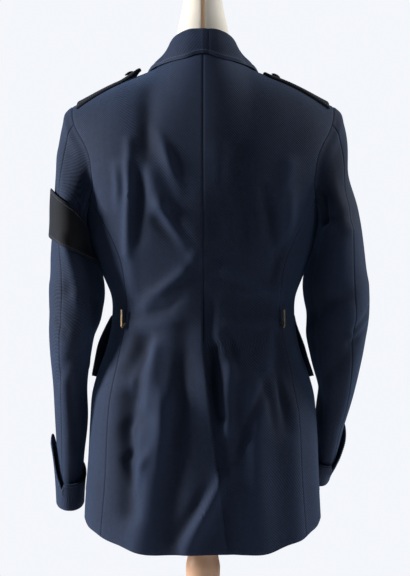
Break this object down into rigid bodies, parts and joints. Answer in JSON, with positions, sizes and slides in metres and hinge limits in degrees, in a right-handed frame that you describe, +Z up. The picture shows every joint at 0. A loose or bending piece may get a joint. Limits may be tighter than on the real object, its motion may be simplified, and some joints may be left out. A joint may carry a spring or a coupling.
{
  "type": "military uniform jacket on a dress form and stand",
  "caption": "Fitted military uniform jacket with fold collar, shoulder straps, turned cuffs, arm band, hip pockets and back vent, worn by a limbless dress form on a turned wooden stand.",
  "frame": {"origin": "centre of the base's underside, on the floor", "axes": "+Z up, the jacket's front faces -Y and its back +Y, +X is the wearer's left"},
  "size_m": [0.4814, 0.3539, 1.183],
  "materials": {
    "navy_twill": "navy wool twill, matt",
    "navy_twill_shade": "navy wool twill, matt, on the side panels and under sleeves",
    "black_band": "plain black cloth, matt",
    "black_strap": "stiff black cloth, matt",
    "button_brass": "plain domed, satin",
    "hook_brass": "plain strip, satin",
    "cream_cotton": "cream cotton cover, matt",
    "turned_wood": "turned and waxed, satin"
  },
  "bodies": {
    "root": {"armband_left": "black_band", "back_left": "navy_twill", "back_right": "navy_twill", "base": "turned_wood", "belt_hook_left": "hook_brass", "belt_hook_right": "hook_brass", "collar": "navy_twill", "cuff_left": "navy_twill", "cuff_right": "navy_twill", "flap_button_left": "button_brass", "flap_button_right": "button_brass", "form_torso": "cream_cotton", "front_button_1": "button_brass", "front_button_2": "button_brass", "front_button_3": "button_brass", "front_button_4": "button_brass", "front_left": "navy_twill", "front_right": "navy_twill", "lapel_left": "navy_twill", "lapel_right": "navy_twill", "neck_cap": "turned_wood", "pocket_flap_left": "navy_twill", "pocket_flap_right": "navy_twill", "pocket_left": "navy_twill", "pocket_right": "navy_twill", "shoulder_strap_left": "black_strap", "shoulder_strap_right": "black_strap", "side_left": "navy_twill_shade", "side_right": "navy_twill_shade", "sleeve_top_left": "navy_twill", "sleeve_top_right": "navy_twill", "sleeve_under_left": "navy_twill_shade", "sleeve_under_right": "navy_twill_shade", "stem": "turned_wood", "strap_button_left": "button_brass", "strap_button_right": "button_brass"}
  },
  "joints": []
}
